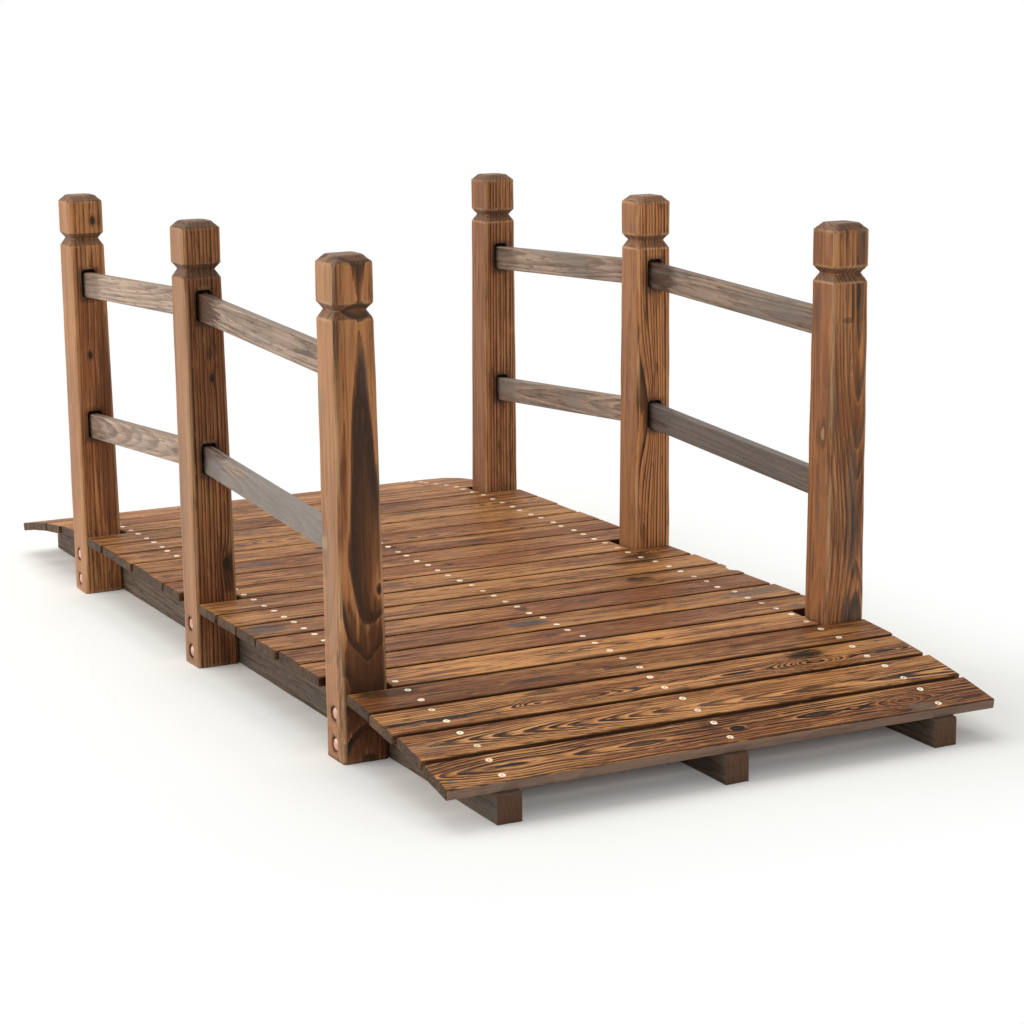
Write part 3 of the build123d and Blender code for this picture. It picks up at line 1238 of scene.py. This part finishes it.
def screw_head(work: bmesh.types.BMesh, radius: float) -> list[bmesh.types.BMVert]:
    """A small countersunk head with a cross recess, its rim at height 0.

    Args:
        work: Where it is added.
        radius: The head's radius.

    Returns:
        Its vertices.
    """
    outline = [(0.0, -0.5), (radius * 0.34, -0.4), (radius * 0.4, 0.2), (radius * 0.94, 0.06),
               (radius, -0.14), (radius * 0.8, -1.6), (0.0, -1.7)]
    head = turned(work, outline, 12)
    for vertex in head:
        if abs(math.hypot(vertex.co.x, vertex.co.y) - radius * 0.34) < 0.05:
            arm = abs(math.sin(2 * math.atan2(vertex.co.y, vertex.co.x)))
            vertex.co.x *= 1.0 - 0.72 * arm
            vertex.co.y *= 1.0 - 0.72 * arm
    return head


@dataclass
class Posts:
    """The six posts."""

    rows: tuple[str, ...] = ("near", "middle", "far")
    # The posts' sideways faces: their colour is partly their grain, and painted light makes the left row's
    # lighter as lit and the right row's darker as shaded.
    sides: dict[Side, Colour] = field(default_factory=lambda: {
        Side.LEFT: dye(172, 128, 92), Side.RIGHT: dye(128, 88, 60)})
    own: dict[str, dict[str, Any]] = field(default_factory=lambda: {
        "near_left": {"line": 0.95, "uneven": 0.0, "ragged": 0.06, "thick": 0.1, "streak": 0.2},
        "near_right": {"line": 0.6, "uneven": 0.3, "ragged": 0.2, "dark": dye(84, 68, 56), "weathered": 0.3,
                       "fair": 0.45, "cover": 0.5, "streak": 0.45, "tone": 1.06},
        "far_left": {"line": 0.7, "fair": 0.7, "uneven": 0.5, "streak": 0.5},
        # The middle posts' side colours carry the same painted light: lighter on the left, darker on the
        # right.
        "middle_left": {"line": 0.8, "fair": 0.2, "tone": 0.8, "dark": dye(48, 34, 25),
                        "side": dye(198, 150, 111)},
        "middle_right": {"line": 0.95, "fair": 1.0, "tone": 1.32, "streak": 0.45, "dark": dye(46, 32, 24),
                         "side": dye(108, 76, 54)},
    })

    SAME_POST = 0.03
    HALF_RAIL = 0.018
    TENON = 0.014

    def rings(self) -> dict[str, Rings]:
        """How each post was cut, seen from its near face."""
        return {
            "near_left": Rings(pith=(3, -14.4), width=14.0, sway=0.12, late=0.54, seed=6.266, knots=(
                Knot(0, 210, 1000, 99, 2.6), Knot(0, -198, 1000, 50, 28.0), Knot(27, -50, 16, 80, -6.0),
                Knot(4, -158, 7, 18, -5.0), Knot(-30, -112, 15, 36, 6.5), Knot(30, -135, 10, 20, 4.0),
                Knot(-27, -60, 13, 66, -4.0), Knot(20, -88, 10, 20, -10.0), Knot(27, -30, 4, 11, 5.0))),
            "middle_left": Rings(pith=(-150, 8), width=5.0, sway=0.3, late=0.5, seed=5.3, knots=(
                Knot(4, 88, 5, 14, 2.5, 3.0), Knot(14, -150, 9, 24, 5.0, 4.5))),
            "far_left": Rings(pith=(-90, 30), width=7.0, sway=0.6, late=0.6, seed=8.9, knots=(
                Knot(-6, 60, 6, 14, 3.0, 3.0), Knot(6, 248, 6, 12, 3.0, 3.5))),
            "near_right": Rings(pith=(15, 13), width=5.0, sway=0.5, late=0.35, seed=12.4, knots=(
                Knot(0, -83, 1000, 140, 20.0), Knot(-34, 27, 8, 18, -7.0))),
            "middle_right": Rings(pith=(-70, 4), width=4.6, sway=0.4, late=0.6, seed=17.7, knots=(
                Knot(-8, -10, 14, 85, -14.0),)),
            "far_right": Rings(pith=(-120, -50), width=4.6, sway=0.6, late=0.5, seed=21.2),
        }

    def marks(self) -> dict[str, tuple[Mark, ...]]:
        """The stains and knots that catch the eye, a painted highlight on a knot, and the painted shadow at
        the near-left post's foot.
        """
        slate, soot, bark_and_foot_shade = dye(84, 78, 72), dye(60, 44, 34), dye(82, 49, 28)
        light, grey, gold = dye(200, 156, 116), dye(142, 122, 102), dye(212, 144, 88)
        return {
            # The wide bark-brown mark low on the near-left post's front is a painted shadow of the deck at
            # its foot; the narrower one above it is a stain.
            "near_left": (Mark(8, 156, 5, 28, slate, 0.4, 26, 4), Mark(6, -205, 40, 105, bark_and_foot_shade, 0.8, 26, 16),
                          Mark(6, -40, 13, 80, bark_and_foot_shade, 0.4, 26, 8),
                          Mark(-29, -36, 6, 17, grey, 0.5, -12, 10), Mark(-29, -36, 6, 8, light, 0.5, -13, 6),
                          Mark(-29, 123, 6, 18, grey, 0.6, -18, 8), Mark(-29, -100, 6, 60, grey, 0.4, 0, 9)),
            "near_right": (Mark(9, -60, 8, 90, slate, 0.6, 26, 12),
                           Mark(10, -196, 14, 38, slate, 0.7, 26, 12),
                           Mark(18, 262, 5, 26, slate, 0.5, 26, 12), Mark(-2, 168, 7, 3, soot, 0.5, 26, 8),
                           Mark(-4, 250, 24, 24, gold, 0.5, 26, 10, True),
                           # The light spot inside this dark knot on the near-right post's inner face is a
                           # painted highlight.
                           Mark(-29, 31, 8, 19, soot, 0.6, 8, 11), Mark(-29, 31, 8, 8, light, 0.7, 8, 5)),
            "middle_left": (Mark(-29, 60, 6, 66, light, 0.5, 14, 6), Mark(-29, -60, 6, 90, grey, 0.4, -6, 10),
                            Mark(2, 120, 4, 9, soot, 0.7, 26, 4), Mark(18, -160, 9, 26, soot, 0.7, 26, 8),
                            Mark(2, 250, 28, 26, gold, 0.7, 26, 10, True)),
            "middle_right": (Mark(-19, 24, 9, 34, soot, 0.75, 26, 6),
                             Mark(0, 250, 28, 26, gold, 0.6, 26, 10, True)),
            "far_left": (Mark(16, -60, 14, 190, dye(100, 62, 42), 0.6, 26, 16),
                         Mark(-8, 250, 16, 24, gold, 0.7, 26, 10, True)),
        }

    def slots(self, side: Side, grain: Grain) -> list[Vector]:
        """Find the slots of one post where its side's rails end in it.

        Args:
            side: The side of the bridge.
            grain: Where the post lies.

        Returns:
            The slots' middles, in the post's grain frame.
        """
        mouths = []
        for kind in ("top_rail", "lower_rail"):
            for bay in ("near", "far"):
                low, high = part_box(f"{kind}_{bay}_{side.word}")
                low, high = Vector(low), Vector(high)
                for y, towards in ((low.y, 1), (high.y, -1)):
                    if abs(y - grain.centre.y) < self.SAME_POST:
                        lower_end = (bay == "near") == (towards == 1)
                        z = (low.z if lower_end else high.z) + self.HALF_RAIL * (1 if lower_end else -1)
                        mouth = Vector(((low.x + high.x) / 2, y + towards * self.TENON, z))
                        mouths.append(grain.from_world() @ mouth)
        return mouths

    def build(self) -> list[bpy.types.Object]:
        """Make the posts."""
        cuts, marks = self.rings(), self.marks()
        pieces = []
        for side in Side:
            for row in self.rows:
                node = f"post_{row}_{side.word}"
                grain = Grain.of_node(node, ACROSS, -ALONG, square=True)
                place = f"{row}_{side.word}"
                # A post's sideways faces take its row's colour, painted lit on the left and shaded on the
                # right.
                finish = replace(POST_WOOD, **{"side": self.sides[side], **self.own.get(place, {})})
                post = Timber(node, "post_wood", grain, cuts[place], finish, ease=0.9, corner=5.0,
                              cell=(1.8, 6.0, 1.8), relief=0.35, waver=0.9,
                              slots=self.slots(side, grain), marks=marks.get(place, ()))
                pieces.append(post.build())
        return pieces


@dataclass
class Rails:
    """The flat rails between the posts."""

    seed: int = 19
    stain: Colour = dye(76, 51, 35)
    stain_reach: float = 50.0
    stain_width: float = 50.0
    stain_share: dict[str, float] = field(default_factory=lambda: {"near": 0.95, "far": 0.5})
    weather: dict[Side, dict[str, dict[str, float]]] = field(default_factory=lambda: {
        Side.LEFT: {
            "top_rail_near": {"tone": 1.12, "weathered": 0.25},
            "top_rail_far": {"tone": 1.22, "weathered": 0.3},
            "lower_rail_near": {"tone": 1.06, "weathered": 0.8},
            "lower_rail_far": {"tone": 1.22, "weathered": 0.35},
        },
        Side.RIGHT: {
            "top_rail_near": {"tone": 0.92, "weathered": 0.45},
            "top_rail_far": {"tone": 1.02, "weathered": 0.4},
            "lower_rail_near": {"tone": 0.74, "weathered": 0.8},
            "lower_rail_far": {"tone": 1.08, "weathered": 0.45},
        },
    })

    def build(self) -> list[bpy.types.Object]:
        """Make the rails."""
        draw = random.Random(self.seed)
        pieces = []
        for side in Side:
            for kind in ("top_rail", "lower_rail"):
                for bay in ("near", "far"):
                    node = f"{kind}_{bay}_{side.word}"
                    grain = Grain.of_node(node, UP, ACROSS, square=False)
                    rings = Rings(pith=(draw.uniform(-20, 20), draw.uniform(-50, -20)),
                                  lean=(0.0, draw.uniform(-0.05, 0.05)), width=draw.uniform(3, 5),
                                  sway=1.0, seed=draw.uniform(0, 60))
                    finish = replace(RAIL_WOOD, **self.weather[side][f"{kind}_{bay}"])
                    far_end = Mark(0, self.stain_reach / 2 - grain.size.y / 2, self.stain_width,
                                   self.stain_reach, self.stain, self.stain_share[bay])
                    rail = Timber(node, "rail_wood", grain, rings, finish, ease=0.7,
                                  cell=(2.0, 8.0, 3.0), relief=0.2, waver=0.3, marks=(far_end,))
                    pieces.append(rail.build())
        return pieces


@dataclass
class Bearers:
    """The three arched bearers under the deck."""

    seed: int = 31

    def build(self) -> list[bpy.types.Object]:
        """Make the bearers."""
        draw = random.Random(self.seed)
        pieces = []
        for place in ("left", "middle", "right"):
            node = f"stringer_{place}"
            grain = Grain.of_node(node, UP, ACROSS, square=True)
            rings = Rings(pith=(draw.uniform(-40, 40), draw.uniform(-50, -25)),
                          lean=(0.01, draw.uniform(-0.03, 0.03)), width=5.0, seed=draw.uniform(0, 60))
            bearer = Timber(node, "stringer_wood", grain, rings, BEARER_WOOD, ease=0.9,
                            cell=(2.6, 10.0, 4.0), relief=0.2, waver=0.5)
            pieces.append(bearer.build())
        return pieces


@dataclass
class Bolts:
    """The coach bolts through the posts and the outer bearers, their heads nearly flush with the posts."""

    head: float = 7.5
    head_height: float = 4.2
    dome: float = 3.0
    shank: float = 3.0
    crown: float = 1.5
    washer: float = 6.6
    washer_levels: tuple[float, float] = (4.0, 5.0)
    nut: float = 5.77
    nut_height: float = 3.4

    def places(self, node: str) -> list[Vector]:
        """The middle of each of a node's bolts, in metres.

        Args:
            node: The node's name.

        Returns:
            The middles.
        """
        work = bmesh.new()
        work.from_mesh(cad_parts[node].data)
        bmesh.ops.remove_doubles(work, verts=work.verts, dist=1e-6)
        middles = []
        left = set(work.verts)
        while left:
            group = {left.pop()}
            edge = list(group)
            while edge:
                vertex = edge.pop()
                for link in vertex.link_edges:
                    other = link.other_vert(vertex)
                    if other in left:
                        left.remove(other)
                        group.add(other)
                        edge.append(other)
            low = Vector([min(vertex.co[axis] for vertex in group) for axis in range(3)])
            high = Vector([max(vertex.co[axis] for vertex in group) for axis in range(3)])
            middles.append((low + high) / 2)
        work.free()
        return middles

    def build(self) -> list[bpy.types.Object]:
        """Make the bolts of both sides."""
        material = COPPER.material("copper_bolts")
        pieces = []
        for side in Side:
            node = f"bolts_{side.word}"
            low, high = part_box(node)
            length = (high[0] - low[0]) / MM
            work = bmesh.new()
            for middle in self.places(node):
                verts = self.bolt(work, length)
                outwards = Matrix.Rotation(math.radians(90) * side.value, 4, "Y")
                matrix = Matrix.Translation(middle) @ outwards @ Matrix.Scale(MM, 4)
                bmesh.ops.transform(work, matrix=matrix, verts=verts)
            bmesh.ops.recalc_face_normals(work, faces=work.faces)
            piece = make_piece(f"coach_bolts_{side.word}", work, material)
            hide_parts(node)
            pieces.append(piece)
        return pieces

    def bolt(self, work: bmesh.types.BMesh, length: float) -> list[bmesh.types.BMVert]:
        """One bolt along Z, its head's crown at the top and a washer and nut at its foot.

        Args:
            work: Where it is added.
            length: Its solid's length.

        Returns:
            Its vertices.
        """
        before = set(work.verts)
        foot = -length / 2
        top = length / 2 + self.crown
        rim = top - self.head_height
        dome = [(self.head * math.cos(angle), rim + 1.2 + self.dome * math.sin(angle))
                for angle in (math.radians(15 * step) for step in range(6))]
        outline = [(0.0, top - 0.5), (0.5, top - 0.45), (0.9, top - 0.02)]
        outline += reversed(dome[:-1])
        outline += [(self.head, rim), (self.shank, rim - 0.02), (self.shank, foot + 0.4),
                    (2.5, foot), (0.0, foot)]
        turned(work, outline, 28)
        low, high = self.washer_levels
        washer = [(self.shank, high), (self.washer, high), (self.washer, low), (self.shank, low)]
        turned(work, [(radius, foot + height) for radius, height in washer], 24)
        nut = bmesh.ops.create_cone(work, cap_ends=True, segments=6, radius1=self.nut, radius2=self.nut,
                                    depth=self.nut_height)
        bmesh.ops.translate(work, vec=(0, 0, foot + 2.3), verts=nut["verts"])
        rims = {edge for vertex in nut["verts"] for edge in vertex.link_edges}
        bmesh.ops.bevel(work, geom=list(rims), offset=0.35, segments=1, profile=0.5, affect="EDGES",
                        material=-1)
        return [vertex for vertex in work.verts if vertex not in before]


@dataclass
class Stage:
    """The floor, the light and the camera."""

    floor_size: float = 60.0
    floor_lit: Colour = (0.8, 0.8, 0.8, 1.0)
    floor_seen: Colour = (0.96, 0.96, 0.90, 1.0)
    shade: tuple[float, float] = (0.26, 0.62)
    shade_middle: float = 0.05
    fill: float = 0.5
    lens: float = 89.36
    sensor: float = 36.0
    eye: tuple[float, float, float] = (-1.40457, -2.98760, 0.85344)
    heading: float = 26.949
    pitch: float = -11.842
    roll: float = -0.669

    def build(self) -> None:
        """Set up everything that isn't the bridge."""
        self.build_floor()
        self.build_world()
        self.build_lamps()
        self.build_camera()
        bpy.context.scene.view_settings.view_transform = "Standard"

    def build_floor(self) -> None:
        """A pale floor that fades to white away from the bridge."""
        paint = Paint.on_surface("pale_floor")
        camera, seen = paint.shown()
        x, y, _ = paint.apart(paint.spot())
        x = greater(size_of(x - self.shade_middle) - self.shade[0], 0.0)
        y = greater(size_of(y) - self.shade[1], 0.0)
        away = root(x * x + y * y)
        bright = rise(away, 0.0, 0.16) * 0.22 + rise(away, 0.12, 0.42) * 0.78
        white = paint.node("ShaderNodeEmission", {}, {"Color": WHITE, "Strength": 1.0})
        mixed = paint.node("ShaderNodeMixShader", {}, {
            0: seen * bright,
            1: Tint(paint, paint.surface.outputs[0]),
            2: Tint(paint, white.outputs[0]),
        })
        out = paint.tree.nodes["Material Output"]
        paint.fill(out, {"Surface": Tint(paint, mixed.outputs[0])})
        colour = paint.mix(camera, self.floor_lit, self.floor_seen)
        material = paint.finish({"Base Color": colour, "Roughness": 0.9, "Specular IOR Level": 0.0})
        work = bmesh.new()
        bmesh.ops.create_grid(work, x_segments=1, y_segments=1, size=self.floor_size / 2)
        floor = shape_object("floor", work, material)

    def build_world(self) -> None:
        """A white surround that also fills the shadows."""
        world = bpy.data.worlds.new("studio")
        bpy.context.scene.world = world
        paint = Paint(world, "Background")
        _, seen = paint.shown()
        paint.fill(paint.surface, {"Color": WHITE, "Strength": self.fill + seen * (1.0 - self.fill)})

    def build_lamps(self) -> None:
        """Soft boxes: one overhead and one from the left."""
        self.soft_box("overhead", (-0.2, 0.8, 3.2), (0.0, 0.0, 0.1), (3.0, 3.0), 60.0)
        self.soft_box("left", (-3.4, 0.9, 1.8), (0.0, 0.0, 0.25), (2.4, 2.0), 60.0)

    def soft_box(self, name: str, place: tuple, target: tuple, size: tuple, watts: float) -> None:
        """Add a rectangular lamp that looks at a point.

        Args:
            name: Its name.
            place: Where it stands.
            target: What it looks at.
            size: Its width and height.
            watts: Its power.
        """
        light = bpy.data.lights.new(name, "AREA")
        light.shape = "RECTANGLE"
        light.size, light.size_y = size
        light.energy = watts
        lamp = add_object(name, light)
        lamp.location = place
        lamp.rotation_euler = (Vector(target) - Vector(place)).to_track_quat("-Z", "Y").to_euler()

    def build_camera(self) -> None:
        """A long lens low at the near left corner."""
        lens = bpy.data.cameras.new("camera")
        lens.lens = self.lens
        lens.sensor_width = self.sensor
        camera = add_object("camera", lens)
        heading, pitch, roll = (math.radians(angle) for angle in (self.heading, self.pitch, self.roll))
        forward = Vector((
            math.cos(pitch) * math.sin(heading), math.cos(pitch) * math.cos(heading), math.sin(pitch),
        ))
        right = forward.cross(UP).normalized()
        up = right.cross(forward)
        level, plumb = right, up
        right = level * math.cos(roll) + plumb * math.sin(roll)
        up = plumb * math.cos(roll) - level * math.sin(roll)
        turn = Matrix((right, up, -forward)).transposed()
        camera.matrix_world = Matrix.Translation(self.eye) @ turn.to_4x4()
        bpy.context.scene.camera = camera


def main() -> None:
    """Build the bridge's pieces and the stage round them."""
    logging.basicConfig(level=logging.INFO, format="%(name)s: %(message)s")
    Stage().build()
    for group in (Bearers(), Posts(), Rails(), Deck(), Bolts()):
        made = group.build()
        LOG.info("%s: %d pieces", type(group).__name__, len(made))


if __name__ == "__main__":
    main()
